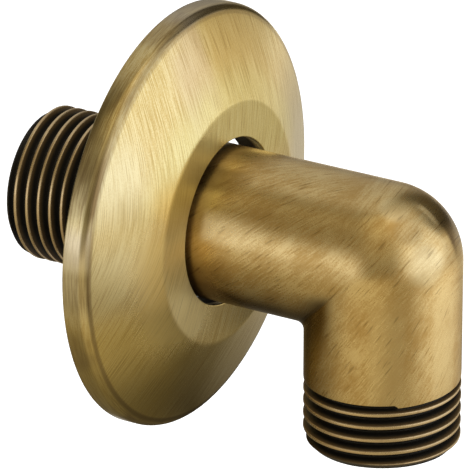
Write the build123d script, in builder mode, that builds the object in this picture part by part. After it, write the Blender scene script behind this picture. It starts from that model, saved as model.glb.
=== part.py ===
from build123d import *
import os

# Wall outlet elbow for a shower hose: a brass elbow and the loose flange that covers the hole in the wall.
# The horizontal pipe lies on the Y axis, the finished wall is the plane y = 0, and the front faces -Y.

# Elbow, in millimetres
thread_d = 20.955  # half-inch pipe thread over its crests, which is also the plain pipe
thread_depth = 1.162  # crest to root of that thread
waterway_d = 14.0
inlet_length = 20.85  # wall back to the inlet's end
outlet_reach = 31.8  # wall out to the outlet's axis
outlet_drop = 25.9  # pipe axis down to the outlet's end
inlet_thread_length = 23.5
outlet_thread_length = 8.3
relief_width = 0.9  # groove turned behind each thread
end_chamfer = 1.05  # lead-in on each thread
mouth_chamfer = 0.5  # inner edge of each end
crease_round = 1.2  # inside corner of the bend

# Flange, in millimetres
flange_d = 57.7
rim_height = 3.1  # wall to the corner of rim and cone, before it is rounded
rim_round = 1.5
rim_width = 1.8  # ring that bears on the wall
ring_d = 33.2  # flat ring round the pipe
ring_height = 8.2  # wall to the flat ring
ring_thickness = 4.2
cone_thickness = 2.2  # measured along the pipe
pipe_clearance = 0.95  # gap all round the pipe
hole_chamfer = 0.2

thread_r = thread_d / 2
root_r = thread_r - thread_depth
waterway_r = waterway_d / 2
inlet_thread_end = inlet_length - inlet_thread_length
inlet_relief_end = inlet_thread_end - relief_width
outlet_thread_top = outlet_thread_length - outlet_drop
outlet_relief_top = outlet_thread_top + relief_width
bend = (0, -outlet_reach, 0)

flange_r = flange_d / 2
ring_r = ring_d / 2
hole_r = thread_r + pipe_clearance
hollow_r = flange_r - rim_width
cone_slope = (ring_height - rim_height) / (flange_r - ring_r)
hollow_height = rim_height + cone_slope * rim_width - cone_thickness
ring_back = ring_height - ring_thickness
roof_r = hollow_r - (ring_back - hollow_height) / cone_slope

os.makedirs("parts", exist_ok=True)

# Elbow: two turned arms that meet in a ball of their own radius, with the inside corner blended
with BuildPart() as elbow:
    with BuildSketch(Plane.XY):
        with BuildLine():
            Polyline(
                (0, inlet_length),
                (thread_r - end_chamfer, inlet_length),
                (thread_r, inlet_length - end_chamfer),
                (thread_r, inlet_thread_end),
                (root_r, inlet_thread_end),
                (root_r, inlet_relief_end),
                (thread_r, inlet_relief_end),
                (thread_r, -outlet_reach),
                (0, -outlet_reach),
                close=True,
            )
        make_face()
    revolve(axis=Axis.Y)
    with BuildSketch(Plane.XZ.offset(outlet_reach)):
        with BuildLine():
            Polyline(
                (0, 0),
                (thread_r, 0),
                (thread_r, outlet_relief_top),
                (root_r, outlet_relief_top),
                (root_r, outlet_thread_top),
                (thread_r, outlet_thread_top),
                (thread_r, end_chamfer - outlet_drop),
                (thread_r - end_chamfer, -outlet_drop),
                (0, -outlet_drop),
                close=True,
            )
        make_face()
    revolve(axis=Axis(bend, (0, 0, 1)))
    with Locations(bend):
        Sphere(thread_r)
    fillet(elbow.edges().filter_by(GeomType.ELLIPSE), crease_round)

    # Waterway: bored from both ends to a ball-shaped corner
    inlet_face = elbow.faces().sort_by(Axis.Y)[-1]
    with Locations(Plane(inlet_face)):
        Hole(waterway_r, depth=inlet_length + outlet_reach)
    outlet_face = elbow.faces().sort_by(Axis.Z)[0]
    with Locations(Plane(outlet_face)):
        Hole(waterway_r, depth=outlet_drop)
    with Locations(bend):
        Sphere(waterway_r, mode=Mode.SUBTRACT)
    inlet_mouth = elbow.faces().sort_by(Axis.Y)[-1].edges().sort_by(SortBy.LENGTH)[0]
    outlet_mouth = elbow.faces().sort_by(Axis.Z)[0].edges().sort_by(SortBy.LENGTH)[0]
    chamfer((inlet_mouth, outlet_mouth), mouth_chamfer)

elbow.part.label = "elbow"
export_step(elbow.part, "parts/elbow.step")

# Flange: a hollow cone with a flat ring round the pipe, open at the back and loose on the pipe
with BuildPart() as wall_flange:
    with BuildSketch(Plane.XY) as section:
        with BuildLine():
            Polyline(
                (flange_r, 0),
                (flange_r, -rim_height),
                (ring_r, -ring_height),
                (hole_r, -ring_height),
                (hole_r, -ring_back),
                (roof_r, -ring_back),
                (hollow_r, -hollow_height),
                (hollow_r, 0),
                close=True,
            )
        make_face()
        fillet(section.vertices().sort_by_distance((flange_r, -rim_height))[0], rim_round)
        chamfer(section.vertices().sort_by_distance((hole_r, -ring_height))[0], hole_chamfer)
    revolve(axis=Axis.Y)

wall_flange.part.label = "wall_flange"
export_step(wall_flange.part, "parts/wall_flange.step")
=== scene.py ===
import math

import bmesh
import bpy
import numpy as np
from mathutils import Matrix, Vector


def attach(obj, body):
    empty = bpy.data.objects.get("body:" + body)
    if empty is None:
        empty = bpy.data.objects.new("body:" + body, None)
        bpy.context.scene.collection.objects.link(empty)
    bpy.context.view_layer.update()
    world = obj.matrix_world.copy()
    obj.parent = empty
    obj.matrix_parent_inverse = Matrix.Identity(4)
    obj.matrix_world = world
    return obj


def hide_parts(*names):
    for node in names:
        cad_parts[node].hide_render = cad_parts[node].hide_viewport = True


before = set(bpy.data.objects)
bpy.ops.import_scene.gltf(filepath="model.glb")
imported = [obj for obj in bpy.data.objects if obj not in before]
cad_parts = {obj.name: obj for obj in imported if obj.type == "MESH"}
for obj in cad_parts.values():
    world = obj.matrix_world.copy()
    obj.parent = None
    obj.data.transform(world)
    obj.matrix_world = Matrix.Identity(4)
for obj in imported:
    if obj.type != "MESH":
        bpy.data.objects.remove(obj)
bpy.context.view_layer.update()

# Elbow: one forged brass fitting, turned to half-inch pipe size along both arms and bored through.
# Its two male threads are cut on a lathe. Then the whole piece is darkened in a bath and brushed by hand
# until the high spots shine again, so the dark finish stays in the grooves of the threads.

pipe_r = 10.4775  # all lengths in millimetres, on the drawing's own axes
bore_r = 7.0
mouth_chamfer = 0.5
end_chamfer = 1.05
bend_y = -31.8
crease_round = 1.2
inlet_y = 20.85
inlet_thread = 23.5
relief_width = 0.9
outlet_z = -25.9
pitch = 25.4 / 14
thread_depth = 1.162
root_r = pipe_r - thread_depth
crest_flat = 0.36
groove_width = pitch - crest_flat
root_round = 0.2
flank = math.radians(27.5)
edge_ease = 0.05  # rounds the edge between a crest and its groove
shallow_below = 0.3  # a groove narrower than this is shallower too

columns = 240
turn = (np.arange(columns + 1) + 0.5) * 2 * np.pi / columns  # round each arm, from the inside of the bend
side, inward = np.sin(turn), np.cos(turn)
in_crook = inward > 0


def on_pipe(y, r):
    return np.stack(np.broadcast_arrays(r * side, y, -r * inward), -1)


def on_leg(z, r):
    return np.stack(np.broadcast_arrays(r * side, bend_y + r * inward, z), -1)


def on_ball(share, r):
    """The outside of the bend, from the pipe at share 0 to the leg at share 1."""
    swung, reach = share * math.pi / 2, r * np.abs(inward)
    return np.stack([r * side, bend_y - reach * math.sin(swung), reach * math.cos(swung)], -1)


def groove_depth(up, width):
    """Depth of one 55 degree groove with a round root, at a distance up from its lower edge."""
    off = np.abs(up - width / 2)
    wall = (width / 2 - off) / math.tan(flank)
    root = width / 2 / math.tan(flank) - root_round / math.sin(flank)
    root = root + np.sqrt(np.maximum(root_round**2 - off**2, 0))
    cut = np.where(off < root_round * math.cos(flank), root, wall)
    return (cut + np.sqrt(cut**2 + edge_ease**2)) / 2 * np.minimum(width / shallow_below, 1)


def thread_radius(along, crest, widths, from_end):
    """Radius of a thread where its deepest groove, or the chamfer at its end, has cut it to."""
    deepest = np.zeros_like(turn)
    for k, width in widths.items():
        deepest = np.maximum(deepest, groove_depth(along - crest - k * pitch - crest_flat / 2, width))
    return np.minimum(pipe_r - deepest, pipe_r - end_chamfer + from_end)


# The inlet thread runs the whole way from the end to the groove turned behind it
inlet_crest = 5.56 + pitch * (turn - np.radians(270)) / (2 * np.pi)  # from the inlet's end
inlet_widths = dict.fromkeys(range(-4, 13), groove_width)  # by the number of the turn

# The outlet thread climbs to the plain leg, where the last groove narrows in a step and runs out
leg_turn = np.pi / 2 - turn
outlet_crest = -17.65 + pitch * (leg_turn - np.radians(240)) / (2 * np.pi)
run_out = (-20, 219, 221, 285, 330, 400), (groove_width, 1.2, 0.8, 0.92, 0.8, 0)  # degrees, width
outlet_widths = {k: np.interp(np.degrees(leg_turn) + 360 * k, *run_out) for k in range(3, -7, -1)}
thread_top = -14.4

# Shares of a groove's width, where it gets a row of points
groove_steps = (0, 0.035, 0.16, 0.33, 0.42, 0.5, 0.58, 0.67, 0.84, 0.965, 1)
on_flat = crest_flat / 3

elbow_rows = [on_pipe(inlet_y, bore_r + mouth_chamfer)]
for k, width in inlet_widths.items():
    for step in [-on_flat, on_flat] + [crest_flat / 2 + width * share for share in groove_steps]:
        down = np.clip(inlet_crest + k * pitch + step, 0, inlet_thread)
        elbow_rows.append(on_pipe(inlet_y - down, thread_radius(down, inlet_crest, inlet_widths, down)))
relief_y = inlet_y - inlet_thread - relief_width
relief_round, pipe_round = 0.05, 0.12
pipe_end = relief_y - pipe_round
relief = [(inlet_y - inlet_thread, root_r), (relief_y + relief_round, root_r)]
relief += [(relief_y, root_r + relief_round), (relief_y, pipe_r - pipe_round)]
relief += [(relief_y - pipe_round / 3, pipe_r - pipe_round / 3), (pipe_end, pipe_r)]
elbow_rows += [on_pipe(y, r) for y, r in relief]

# The plain arms meet in a ball of their own radius, and the crook between them is blended
bend_start = np.where(in_crook, bend_y + (pipe_r + crease_round) * inward, bend_y)
for share in np.linspace(0, 1, 7)[1:]:
    elbow_rows.append(on_pipe(pipe_end + (bend_start - pipe_end) * share, pipe_r))
crook = (pipe_r + crease_round) * np.stack([side, inward, -inward], -1) + np.array([0, bend_y, 0])
from_pipe = np.stack([-side, 0 * side, inward], -1)
from_leg = np.stack([-side, -inward, 0 * side], -1)
opening = np.maximum(np.arccos(np.clip(side**2, -1, 1)), 1e-6)[:, None]
for share in np.linspace(0, 1, 29)[1:]:
    swing = np.sin((1 - share) * opening) * from_pipe + np.sin(share * opening) * from_leg
    fillet = crook + crease_round * swing / np.sin(opening)
    elbow_rows.append(np.where(in_crook[:, None], fillet, on_ball(share, pipe_r)))
bend_end = np.where(in_crook, -(pipe_r + crease_round) * inward, 0)
for share in np.linspace(0, 1, 6)[1:]:
    elbow_rows.append(on_leg(bend_end + (thread_top - bend_end) * share, pipe_r))
for k, width in outlet_widths.items():
    for step in [crest_flat / 2 + width * share for share in groove_steps[::-1]] + [on_flat, -on_flat]:
        at = np.clip(outlet_crest + k * pitch + step, outlet_z, thread_top)
        elbow_rows.append(on_leg(at, thread_radius(at, outlet_crest, outlet_widths, at - outlet_z)))

# The waterway comes back up from the outlet's mouth to the inlet's
elbow_rows.append(on_leg(outlet_z, bore_r + mouth_chamfer))
bore_foot = outlet_z + mouth_chamfer
bore_top = np.where(in_crook, -bore_r * inward, 0)
for share in np.linspace(0, 1, 5):
    elbow_rows.append(on_leg(bore_foot + (bore_top - bore_foot) * share, bore_r))
bore_corner = np.stack([bore_r * side, bend_y + bore_r * inward, -bore_r * inward], -1)
for share in np.linspace(1, 0, 15)[1:]:
    elbow_rows.append(np.where(in_crook[:, None], bore_corner, on_ball(share, bore_r)))
bore_front = np.where(in_crook, bend_y + bore_r * inward, bend_y)
for share in np.linspace(0, 1, 5)[1:]:
    elbow_rows.append(on_pipe(bore_front + (inlet_y - mouth_chamfer - bore_front) * share, bore_r))


def add(name, data):
    """An object of that name in the scene."""
    made = bpy.data.objects.new(name, data)
    bpy.context.scene.collection.objects.link(made)
    return made


def skin(name, rows):
    """A closed mesh over rows of points; every row goes once round and ends where it began."""
    points = np.array(rows) * 0.001  # to metres
    index = np.arange(points.shape[0] * points.shape[1]).reshape(points.shape[:2])
    after = np.roll(index, -1, axis=0)
    quads = np.stack([index[:, :-1], index[:, 1:], after[:, 1:], after[:, :-1]], -1).reshape(-1, 4)
    mesh = bpy.data.meshes.new(name)
    mesh.from_pydata(points.reshape(-1, 3).tolist(), [], quads.tolist())
    shell = bmesh.new()
    shell.from_mesh(mesh)
    bmesh.ops.remove_doubles(shell, verts=shell.verts, dist=1e-6)
    bmesh.ops.dissolve_degenerate(shell, edges=shell.edges, dist=1e-7)
    bmesh.ops.recalc_face_normals(shell, faces=shell.faces)
    for face in shell.faces:
        face.smooth = True
    shell.to_mesh(mesh)
    shell.free()
    mesh.set_sharp_from_angle(angle=math.radians(40))
    return add(name, mesh)


elbow = skin("brass_elbow", elbow_rows)


class Wire:
    """A value in a material. Arithmetic on wires adds Math nodes, and node() adds any other node."""

    def __init__(self, tree, socket=None):
        self.tree, self.socket = tree, socket

    def node(self, kind, settings={}, inputs={}, output=0):
        made = self.tree.nodes.new(kind)
        for name, value in settings.items():
            setattr(made, name, value)
        for name, value in inputs.items():
            if isinstance(value, Wire):
                self.tree.links.new(value.socket, made.inputs[name])
            else:
                made.inputs[name].default_value = value
        return Wire(self.tree, made.outputs[output] if made.outputs else None)

    def math(self, operation, *values):
        return self.node("ShaderNodeMath", {"operation": operation}, dict(enumerate(values)))

    def __add__(self, other):
        return self.math("ADD", self, other)

    __radd__ = __add__

    def __sub__(self, other):
        return self.math("SUBTRACT", self, other)

    def __rsub__(self, other):
        return self.math("SUBTRACT", other, self)

    def __mul__(self, other):
        return self.math("MULTIPLY", self, other)

    __rmul__ = __mul__

    def __truediv__(self, other):
        return self.math("DIVIDE", self, other)

    def __rtruediv__(self, other):
        return self.math("DIVIDE", other, self)


def new_material(name, mesh):
    """A wire in a new and empty material on that mesh."""
    made = bpy.data.materials.new(name)
    made.use_nodes = True
    made.node_tree.nodes.clear()
    mesh.materials.append(made)
    return Wire(made.node_tree)


def spots(wire, per_metre):
    """The place on a piece, and its x, y and z in units of which a metre has that many."""
    place = wire.node("ShaderNodeTexCoord", output="Object")
    return place, *(wire.node("ShaderNodeSeparateXYZ", {}, {0: place}, i) * per_metre for i in range(3))


def span(a, b):
    """Distance from the place where both are 0."""
    return a.math("SQRT", a * a + b * b)


def fade(value, start, end):
    """0 at start and 1 at end, smooth between them."""
    ease = {"interpolation_type": "SMOOTHSTEP"}
    return value.node("ShaderNodeMapRange", ease, {"Value": value, "From Min": start, "From Max": end})


def band(value, start, full, still, end):
    """0 up to start, 1 from full to still, and 0 again from end on, smooth between them."""
    return fade(value, start, full) * fade(value, end, still)


def tint(share, first, second):
    """A colour that goes from the first to the second as share goes from 0 to 1."""
    return share.node("ShaderNodeMix", {"data_type": "RGBA"}, {0: share, 6: first, 7: second}, 2)


def patina(metal, *layers):
    """The metal under layers of stain and wear, each a share and the colour that it turns the metal to."""
    for share, colour in layers:
        metal = tint(share, metal, (*colour, 1))
    return metal


def noise(spot, scale, detail):
    return spot.node("ShaderNodeTexNoise", {}, {"Vector": spot, "Scale": scale, "Detail": detail})


def brushed(*axes):
    """Hair-fine, middling and broad brush marks, from 0 to 1. A mark is long where an axis changes little."""
    spot = axes[0].node("ShaderNodeCombineXYZ", {}, dict(enumerate(axes)))
    scaled = {"operation": "SCALE"}
    here = [spot.node("ShaderNodeVectorMath", scaled, {0: spot, "Scale": scale}) for scale in (6.5, 3, 0.8)]
    return [noise(at, 1, 1) for at in here]


def blend(share, first, second):
    return [a + (b - a) * share for a, b in zip(first, second)]


def brass_finish(wire, metal, metallic, roughness, relief, depth):
    """Bare metal of that colour, with brush marks of that depth in metres."""
    bump = wire.node("ShaderNodeBump", {}, {"Strength": 1, "Distance": depth, "Height": relief})
    inputs = {"Base Color": metal, "Metallic": metallic, "Roughness": roughness, "Normal": bump}
    shine = wire.node("ShaderNodeBsdfPrincipled", {}, inputs)
    wire.node("ShaderNodeOutputMaterial", {}, {"Surface": shine})


wire = new_material("elbow_brass", elbow.data)
place, x, y, z = spots(wire, 1000)
from_leg_axis = y - bend_y

# Brush marks wind up round both arms, and cross the bend in one slanting sweep
mark_stretch = 0.1


def wound(up, outward, climb, seed):
    """Brush marks wound round an arm. Two laps are faded together, so that neither shows where it ends."""
    level = math.sqrt(1 - climb**2)
    laps = []
    for angle in (wire.math("ARCTAN2", up, 0 - x), 0 - wire.math("ARCTAN2", up, x)):
        lap = angle * pipe_r
        along, across = climb * lap + level * outward, level * lap - climb * outward
        laps.append(brushed(across, along * mark_stretch, seed))
    return blend(fade(x, -2, 2), *laps)


on_the_pipe = fade(from_leg_axis - fade(z, 2, -11) * 9, 0, 5)
on_the_leg = fade(z + fade(from_leg_axis, -2, 11) * 9, 0, -5)
sweep_along = 0.596 * x - 0.425 * y + 0.682 * z
marks = brushed(0.775 * y - 0.15 * x + 0.614 * z, sweep_along * mark_stretch, 5)
marks = blend(on_the_pipe, marks, wound(z, 0 - y, 0.66, 3))
hair, mark, broad = blend(on_the_leg, marks, wound(0 - from_leg_axis, 0 - z, -0.57, 8))
cloud = noise(place, 190, 2)
grain = noise(place, 4200, 2)
worn = fade(0.22 * hair + 0.15 * mark + 0.13 * broad + 0.2 * grain + 0.3 * cloud, 0.39, 0.61)
pits = fade(grain, 0.66, 0.75)

# The dark finish is left whole in the grooves of both threads, browner up their sides
inlet_zone, outlet_zone = fade(y, -3.75, -3.7), fade(z, -14.7, -14.8)
below_crest = (pipe_r - span(x, z)) * inlet_zone + (pipe_r - span(x, from_leg_axis)) * outlet_zone
in_groove = band(below_crest, 0.01, 0.14, 1.3, 1.5)
# The thread crests get a painted highlight, darker again at their rounded edges
on_crest = wire.math("MAXIMUM", inlet_zone, fade(z, -16.85, -16.95)) * (1 - in_groove)
groove = tint(fade(below_crest, 0.1, 0.7), (0.085, 0.05, 0.016, 1), (0.011, 0.009, 0.006, 1))

# Painted shade darkens the crook, the pipe beside the flange and next to its hole, the underside of the pipe
# and the inner edge of the leg
below_crease = 0 - z - from_leg_axis
crook_shade = fade(wire.math("MINIMUM", from_leg_axis, 0 - z), 1, 4)
crook_shade = crook_shade * band(below_crease, -4.5, 0.5, 1.5, 9.5)
on_the_back = 0.82 * band(z, 7, 8.2, 9.4, 10.1) * fade(x, 0, -2)
flange_shade = band(y, -16, -10.5, -5, -3) * (fade(z, 2.5, -4) + on_the_back)
hole_shade = band(y, -11, -9.2, -5, -3)
underside_shade = fade(z, -4, -7) * on_the_pipe * fade(y, -7, -9)


def facing(right, back, up):
    """1 where the ball or the leg faces that way, and less all round."""
    return (right * x + back * from_leg_axis + up * z) / pipe_r


leg_left_shade = fade(facing(-0.51, 0.86, 0), 0.9, 0.97) * fade(z, -5, -8)

# Round the ball painted shade makes a dark shoulder and temple, with painted highlights between them; painted
# highlights also lie on the pipe beside the flange and down the leg
round_ball = facing(-0.793, -0.461, 0.398)
past_bend = fade(from_leg_axis, -4, -6)
shoulder_shade = 0.8 * fade(round_ball - 0.03 * z, 0.42, 0.33) * band(z, 0, 5, 6, 8.5)
shoulder_shade = shoulder_shade + 0.35 * band(round_ball, 0.35, 0.5, 0.6, 0.76) * band(z, 0.5, 2.5, 4, 6)
shoulder_shade = shoulder_shade * past_bend
above_shoulder = band(round_ball, 0.55, 0.6, 0.62, 0.67) * band(z, 6.3, 7.5, 8.7, 9.5) * past_bend
temple_shade = fade(facing(-0.43, -0.592, 0.682), 0.97, 0.995)
brow_highlight = fade(facing(-0.439, -0.861, 0.259), 0.94, 0.99)
crown_sheen = fade(facing(-0.332, -0.332, 0.883), 0.97, 0.995) * (1 - on_the_pipe)
pipe_highlight = band(y, -22, -12, -10.6, -9.3) * band(z, 1, 2.7, 4, 6.2) * fade(x, 0, -4)
leg_highlight = fade(facing(-0.848, -0.53, 0), 0.96, 0.99) + fade(facing(-0.174, -0.985, 0), 0.97, 0.99)

# Pits and dark brush marks are the metal's own; the rest of these dark spots is painted shade
dark_marks_and_shade = 0.4 * pits + 0.35 * fade(mark, 0.36, 0.28) + 0.9 * flange_shade + shoulder_shade
dark_marks_and_shade = dark_marks_and_shade + 0.32 * temple_shade + 0.45 * underside_shade + 0.5 * leg_left_shade
# Layers: painted shade by the hole, painted highlights on the leg, pipe and ball, dark marks with painted
# shade, painted shade in the crook, and a painted highlight on the thread crests
metal = patina(
    tint(worn, (0.71, 0.48, 0.185, 1), (1, 0.79, 0.41, 1)),
    (0.4 * hole_shade, (0.62, 0.47, 0.25)),
    (0.45 * leg_highlight * on_the_leg + 0.5 * pipe_highlight, (1, 0.81, 0.44)),
    (0.4 * brow_highlight + 0.4 * crown_sheen, (1, 0.91, 0.6)),
    (dark_marks_and_shade, (0.2, 0.13, 0.055)),
    (0.9 * crook_shade, (0.12, 0.075, 0.03)),
    (0.5 * on_crest, (1, 0.82, 0.6)),
    (0.6 * on_crest * fade(below_crest, 0, 0.04), (0.3, 0.19, 0.1)),
)
brass_finish(
    wire,
    metal=tint(in_groove, metal, groove),
    metallic=1 - 0.6 * in_groove - 0.35 * pipe_highlight - 0.18 * above_shoulder,
    roughness=0.32 - 0.08 * worn + 0.2 * in_groove + 0.1 * hole_shade,
    relief=0.6 * hair + 0.5 * mark,
    depth=1.6e-6,
)
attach(elbow, "elbow")
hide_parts("elbow")

# Wall flange: a loose rosette, spun and turned from brass, hollow at the back and open round the pipe.
# It has the same darkened and brushed finish, with long straight strokes down the cone and
# marks that follow the turned rim. Nothing fastens it: it slides along the pipe to the wall.

flange_r = 28.85
rim_height = 3.1  # wall to the corner of rim and cone, before it is rounded
rim_round = 1.5
rim_centre = (flange_r - rim_round, 2.1)
wall_edge_round = 0.2
ridge_r = 16.6  # corner of cone and flat ring, before it is rounded
ridge_round = 2.2
ring_height = 8.2
cone_slope = (ring_height - rim_height) / (flange_r - ridge_r)
cone_dome = 0.12  # the cone's rise above a straight line, half-way up
hole_r = 11.4275
hole_round = 0.15
hole_lift = 0.3 * np.array([0.449, 0, 0.894])  # the loose flange stands a little high on the pipe
lifted_r = 12  # the ring is lifted in full inside this radius, and not at all outside the ridge
ring_back = 4.0
hollow_r = 27.05
hollow_height = 1.65
roof_r = hollow_r - (ring_back - hollow_height) / cone_slope

flange_turn = np.arange(361) * 2 * np.pi / 360


def arc(centre, radius, start, end, count):
    """Points on a corner, angles in degrees from the flange's radius towards its front."""
    angles = np.radians(np.linspace(start, end, count))
    return [(centre[0] + radius * math.cos(a), centre[1] + radius * math.sin(a)) for a in angles]


# Half a section, as radius and height off the wall: up the rim, over the cone and back inside
lean = math.degrees(math.atan(cone_slope))
ridge_in = ridge_r - ridge_round * math.tan(math.radians(lean / 2))
profile = arc((flange_r - wall_edge_round, wall_edge_round), wall_edge_round, -90, 0, 4)
profile += arc(rim_centre, rim_round, 0, 90 - lean, 10)
ridge = arc((ridge_in, ring_height - ridge_round), ridge_round, 90 - lean, 90, 7)
cone_foot, cone_top = np.array(profile[-1]), np.array(ridge[0])
for share in np.linspace(0, 1, 9)[1:-1]:
    dome = np.array([0, 4 * cone_dome * share * (1 - share)])
    profile.append(tuple(cone_foot + (cone_top - cone_foot) * share + dome))
profile += ridge
profile += [(ridge_in - 0.05, ring_height), (14, ring_height), (hole_r + hole_round + 0.02, ring_height)]
profile += arc((hole_r + hole_round, ring_height - hole_round), hole_round, 90, 180, 5)
profile += [(hole_r, ring_height - 0.2), (hole_r, ring_back + 0.2)]
profile += [(hole_r, ring_back + hole_round), (hole_r + hole_round, ring_back)]
profile += [(hole_r + 0.2, ring_back), (15, ring_back)]
profile += [(roof_r - 0.25, ring_back), (roof_r, ring_back - 0.06)]
profile += [(hollow_r - 0.15, hollow_height + 0.05), (hollow_r, hollow_height - 0.1)]
profile += [(hollow_r, 0.15), (hollow_r + 0.15, 0)]
flange_rows = []
for r, height in profile:
    row = [r * np.cos(flange_turn), np.full_like(flange_turn, -height), r * np.sin(flange_turn)]
    lifted = np.clip((ridge_in - r) / (ridge_in - lifted_r), 0, 1)
    flange_rows.append(np.stack(row, -1) + lifted * hole_lift)
flange = skin("brass_flange", flange_rows)

wire = new_material("flange_brass", flange.data)
place, x, y, z = spots(wire, 1000)
out = span(x, z)

# Straight strokes come down from the top and slant across the left, and the rim is marked round and round
slant_below = 6
lower = (z + slant_below - wire.math("SQRT", (z - slant_below) * (z - slant_below) + 60)) / 2
face_marks = brushed(x - 0.65 * lower, z * 0.028, 2)
rim_marks = brushed((y + out) * 1.3, x * 0.07, z * 0.07)
rim = fade(out, 27.7, 28.1)
hair, mark, broad = blend(rim, face_marks, rim_marks)
cloud = noise(place, 90, 3)
grain = noise(place, 4200, 2)
worn = fade(0.44 * hair + 0.16 * mark + 0.06 * broad + 0.2 * grain + 0.14 * cloud, 0.4, 0.6)
scratched = fade(hair, 0.46, 0.34) * (1 - rim) * (1 - 0.4 * fade(x, -2, -9) * fade(z, -2, 4))

# The cone is pinkish and honey brown at its top, with a painted highlight palest on the left and gilded below
# that; painted shade greys its right edge and darkens a band on its left
blush = band(x, -11, -6, -2, 0) * fade(z, 12, 18) * fade(cloud, 0.3, 0.6)
honey = band(x, -1, 1, 9, 17) * fade(z, 15, 24)
left_highlight = fade(x, -15, -21) * (band(z, 3, 10, 14, 22) + band(z, -7, -2, 2, 7))
gilded = fade(x, -6, -12) * fade(z, -4, -9)
green = fade(out, 23, 18) * fade(z, 4, 9)
right_edge_shade = fade(x, 11, 21) * band(z, -12, 3, 4, 19)
left_band_shade = band(out, 19, 21, 24, 26) * fade(x, -16, -19) * band(z, 1, 4, 9, 13)

# Beside the pipe the ring and the foot of the cone are duller, as the brush hardly gets there; painted shade
# darkens the ring's upper left and the cone below the ring, and a painted highlight lightens the ring's lower
# left
by_pipe = fade(out, 24, 18) * fade(x, -3, -9) * band(z, -17, -9, 2, 8)
ring_high_shade = fade(out, 17.2, 16.2) * fade(x, -1, -5) * band(z, -0.5, 4, 12.5, 16)
ring_left = fade(out, 17, 16.3) * fade(x, -8, -12) * band(z, -12, -3, 2, 6)
ring_low_highlight = fade(out, 16.9, 16) * fade(x, -3, -8) * band(z, -15.5, -12, -8, -2)
below_ring_shade = band(out, 16.3, 16.9, 18, 22) * fade(x, -6, -10) * fade(z, -4, -8)

# The rim is streaked and stained, calmer at its lower left, with a painted shade line where it meets the cone
# and over the upper left of its rounded edge, a painted grey reflection on its top and a painted highlight on
# its left
streaks = fade(0.3 * hair + 0.4 * mark + 0.3 * broad, 0.56, 0.4)
calm = band(z, -22, -16, 2, 7) * fade(x, -16, -20)
streaks = streaks + 0.7 * calm * (0.5 - streaks)
cleaner = band(x, -18, -15, -12, -9) * fade(z, 18, 22)
stain = (0.5 * streaks + 0.5 * fade(cloud, 0.56, 0.42)) * (1 - 0.6 * cleaner)
crown_sheen = rim * fade(z, 26, 28.6) * fade(x, -6, -1)
glint = rim * fade(x, -20, -26) * band(z, 1, 4, 6, 9)
soot = rim * fade(x, -20, -24) * (band(z, 8, 10, 14, 18) + band(z, -5, -2, 1, 3))
soot = soot * (0.6 + 0.4 * fade(mark, 0.66, 0.4))
on_front = fade(y, -1, -2)
foot_shade = band(out, 27.35, 27.7, 27.9, 28.25) * on_front * (0.4 + 0.25 * fade(z, 9, 3))
brim_shade = band(out, 27.9, 28.2, 28.55, 28.8) * on_front * fade(x, -3, -8) * fade(z, 5, 9)

# The hollow back and the wall of the hole keep the dark finish, painted near-black there as shade
front = wire.math("MINIMUM", rim_height + cone_slope * (flange_r - out), ring_height)
dark_inside = fade(y + front, 0.5, 1.6) * fade(out, 27.3, 27.1)
in_hole = dark_inside * fade(out, 14, 12)
inside = tint(fade(out, 12, 15), (0.025, 0.018, 0.011, 1), (0.17, 0.12, 0.06, 1))

metal = patina(
    tint(worn, (0.78, 0.58, 0.22, 1), (1, 0.85, 0.46, 1)),
    (0.5 * blush, (0.74, 0.55, 0.35)),
    (0.55 * honey, (0.76, 0.54, 0.18)),
    (0.5 * left_highlight, (1, 0.93, 0.63)),
    (0.5 * gilded, (0.85, 0.65, 0.2)),
    (0.7 * by_pipe, (0.92, 0.69, 0.24)),
    (0.6 * ring_high_shade, (0.48, 0.4, 0.18)),
    (0.42 * ring_low_highlight, (1, 0.88, 0.52)),
    (0.35 * below_ring_shade + 0.18 * left_band_shade, (0.5, 0.38, 0.13)),
    (0.7 * right_edge_shade, (0.62, 0.56, 0.42)),
    (0.35 * green, (0.9, 0.87, 0.42)),
    (0.75 * rim * stain, (0.38, 0.28, 0.15)),
    (0.34 * scratched, (0.42, 0.3, 0.12)),
    (0.5 * crown_sheen, (0.6, 0.56, 0.5)),
    (0.55 * glint, (1, 0.9, 0.76)),
    (0.5 * soot + foot_shade + 0.45 * brim_shade, (0.3, 0.21, 0.1)),
)
brass_finish(
    wire,
    metal=tint(dark_inside, metal, inside),
    metallic=1 - 0.2 * by_pipe - 0.12 * ring_left - 0.08 * ring_low_highlight - 0.9 * in_hole,
    roughness=0.25 - 0.06 * worn + 0.15 * dark_inside + 0.15 * by_pipe + 0.18 * ring_high_shade + 0.3 * in_hole,
    relief=0.5 * hair + 0.5 * mark,
    depth=2e-6,
)
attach(flange, "wall_flange")
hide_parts("wall_flange")

# Studio: a pale floor well below the fitting, one overhead lamp, and a cloth tent and a table top that
# only show in the metal. The tent is lit through its front right side, with a dark gap beside that
# and dim cloth all round, which gives a brushed brass its long bright and dark bands.

floor_half, floor_z = 4, -0.13  # metres, as all lengths in the studio
corners = [(i * floor_half, j * floor_half, floor_z) for i, j in ((-1, -1), (1, -1), (1, 1), (-1, 1))]
black, white = (0, 0, 0, 1), (1, 1, 1, 1)
floor_mesh = bpy.data.meshes.new("floor")
floor_mesh.from_pydata(corners, [], [(0, 1, 2, 3)])
floor = add("floor", floor_mesh)
wire = new_material("floor_paint", floor_mesh)


def shown(wire):
    """1 for rays that show the studio, also in metal or glass, and 0 for those that light the fitting."""
    rays = ("Is Camera Ray", "Is Glossy Ray", "Is Transmission Ray")
    straight, mirrored, through = (wire.node("ShaderNodeLightPath", output=ray) for ray in rays)
    return wire.math("MAXIMUM", straight, wire.math("MAXIMUM", mirrored, through))


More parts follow.
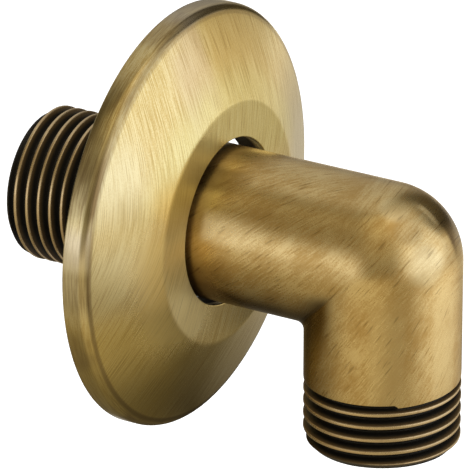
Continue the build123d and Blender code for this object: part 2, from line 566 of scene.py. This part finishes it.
matt = wire.node("ShaderNodeBsdfDiffuse", {}, {"Color": (0.9, 0.9, 0.9, 1)})
paint_glow = tint(shown(wire), black, (0.62, 0.62, 0.62, 1))
paint_glow = wire.node("ShaderNodeEmission", {}, {"Color": paint_glow, "Strength": 1})
from_above = wire.node("ShaderNodeAddShader", {}, {0: matt, 1: paint_glow})
from_below = wire.node("ShaderNodeBsdfTransparent")
is_below = wire.node("ShaderNodeNewGeometry", output="Backfacing")
both = wire.node("ShaderNodeMixShader", {}, {0: is_below, 1: from_above, 2: from_below})
wire.node("ShaderNodeOutputMaterial", {}, {"Surface": both})
floor.visible_glossy = False

tent_r, tent_centre = 0.7, (0, -0.015, 0)
tent_mesh = bpy.data.meshes.new("tent")
shell = bmesh.new()
bmesh.ops.create_uvsphere(shell, u_segments=64, v_segments=32, radius=tent_r)
shell.to_mesh(tent_mesh)
shell.free()
tent = add("tent", tent_mesh)
tent.location = tent_centre
wire = new_material("tent_cloth", tent_mesh)
place, x, y, z = spots(wire, 1 / tent_r)
elevation = wire.math("ARCSINE", z) * (180 / math.pi)


def bearing(x, y, toward):
    """Degrees round from that direction, from -180 to 180."""
    c, s = math.cos(math.radians(toward)), math.sin(math.radians(toward))
    return x.math("ARCTAN2", y * c - x * s, x * c + y * s) * (180 / math.pi)


def light_up(cloth, wire, bright, level):
    """Light that only metal shows, of that level: white for its bright part, and warm for the rest."""
    colour = tint(bright / level, (1, 0.84, 0.52, 1), white)
    glow = wire.node("ShaderNodeEmission", {}, {"Color": tint(level, black, colour), "Strength": 1})
    wire.node("ShaderNodeOutputMaterial", {}, {"Surface": glow})
    cloth.visible_camera = cloth.visible_diffuse = cloth.visible_shadow = False


from_window = bearing(x, y, -78)
window = fade(from_window + 0.35 * wire.math("MAXIMUM", elevation, 0), 42, 39) * fade(from_window, -60, -20)
window = window * fade(elevation, -56, -4) * (1 - 0.6 * fade(elevation, 8, 55))
from_card = bearing(x, y, 0)
card = band(from_card, -46, -38, 15, 40) * fade(elevation + 0.6 * from_card, -2, -15)
rear = band(bearing(x, y, 50), -46, -32, 20, 60) * (0.55 + 0.45 * fade(elevation, -5, 30))
left_wall = band(bearing(x, y, 190), -75, -60, 60, 80)
left_roof = band(bearing(x, y, -150), -50, -20, 20, 50) * fade(elevation, 12, 40)
low_patch = band(bearing(x, y, 154), -26, -14, 12, 34) * fade(elevation, 30, 6)
top = fade(elevation, 40, 72) * (1 - 0.6 * rear)
front_roof = fade(elevation, 20, 55) * band(from_window, -50, -10, 30, 90)
bright = 0.95 * window + 0.27 * rear + 0.3 * card + 0.55 * low_patch + 0.25 * front_roof
level = bright + 0.05 + 0.09 * rear + 0.4 * card + 0.2 * left_wall
level = level + 0.12 * left_roof + 0.22 * top + 0.1 * front_roof
light_up(tent, wire, bright, level)

table_mesh = bpy.data.meshes.new("table")
shell = bmesh.new()
bmesh.ops.create_circle(shell, cap_ends=True, segments=96, radius=0.3)
shell.to_mesh(table_mesh)
shell.free()
table = add("table", table_mesh)
table.location = (0, -0.004, -0.0293)
wire = new_material("table_top", table_mesh)
place, x, y, z = spots(wire, 1000)
from_middle = span(x, y)
lit = band(bearing(x, y, -68), -46, -12, 10, 50) * fade(from_middle, 10, 110)
left_side = band(bearing(x, y, -155), -35, -15, 15, 35) * fade(from_middle, 15, 45)
right_side = band(bearing(x, y, 0), -32, -14, 20, 40) * wire.math("MINIMUM", from_middle * 0.011, 1)
far_left = band(bearing(x, y, 160), -30, -12, 12, 30) * fade(from_middle, 55, 100)
beneath = band(x, -12, -7, 0, 8) * band(y, 4, 8, 15, 30)
near_left = fade(span(x + 13, y + 27), 24, 6)
# A painted shadow of the fitting darkens the table top at its right front
shade = fade(span(x - 40, y + 18), 18, 6)
right_light = (0.27 + 0.17 * fade(from_middle, 150, 220)) * right_side
bright = 0.5 * lit + right_light + 0.18 * far_left + 0.8 * beneath
level = bright + 0.05 + wire.math("MINIMUM", from_middle * 0.0048, 0.3) + 0.17 * left_side + 0.13 * near_left
light_up(table, wire, bright, level * (1 - 0.7 * shade))

overhead = bpy.data.lights.new("overhead", "AREA")
overhead.shape, overhead.size, overhead.size_y, overhead.energy = "RECTANGLE", 0.9, 0.9, 11
lamp = add("overhead", overhead)
lamp.location = (-0.25, -0.35, 1.0)
lamp.rotation_euler = (Vector(tent_centre) - lamp.location).to_track_quat("-Z", "Y").to_euler()
lamp.visible_glossy = False

world = bpy.data.worlds.new("studio")
world.use_nodes = True
world.node_tree.nodes.clear()
wire = Wire(world.node_tree)
backdrop = wire.node("ShaderNodeBackground", {}, {"Color": white, "Strength": 0.4 + 0.6 * shown(wire)})
wire.node("ShaderNodeOutputWorld", {}, {"Surface": backdrop})
bpy.context.scene.world = world

# Camera: a long lens from the left, a little above the fitting, rolled by a hair.
around, rise, roll = math.radians(-59.306), math.radians(23.216), math.radians(0.139)
back = Vector((math.sin(around) * math.cos(rise), -math.cos(around) * math.cos(rise), math.sin(rise)))
level_right = Vector((math.cos(around), math.sin(around), 0))
level_up = back.cross(level_right)
right = level_right * math.cos(roll) + level_up * math.sin(roll)
up = level_up * math.cos(roll) - level_right * math.sin(roll)
lens = bpy.data.cameras.new("camera")
lens.lens, lens.sensor_width = 519.46, 36
lens.clip_start, lens.clip_end = 0.05, 20
camera = add("camera", lens)
camera.matrix_world = Matrix((right, up, back)).transposed().to_4x4()
camera.location = (-0.71243, -0.432, 0.35386)
bpy.context.scene.camera = camera
bpy.context.scene.view_settings.view_transform = "Standard"
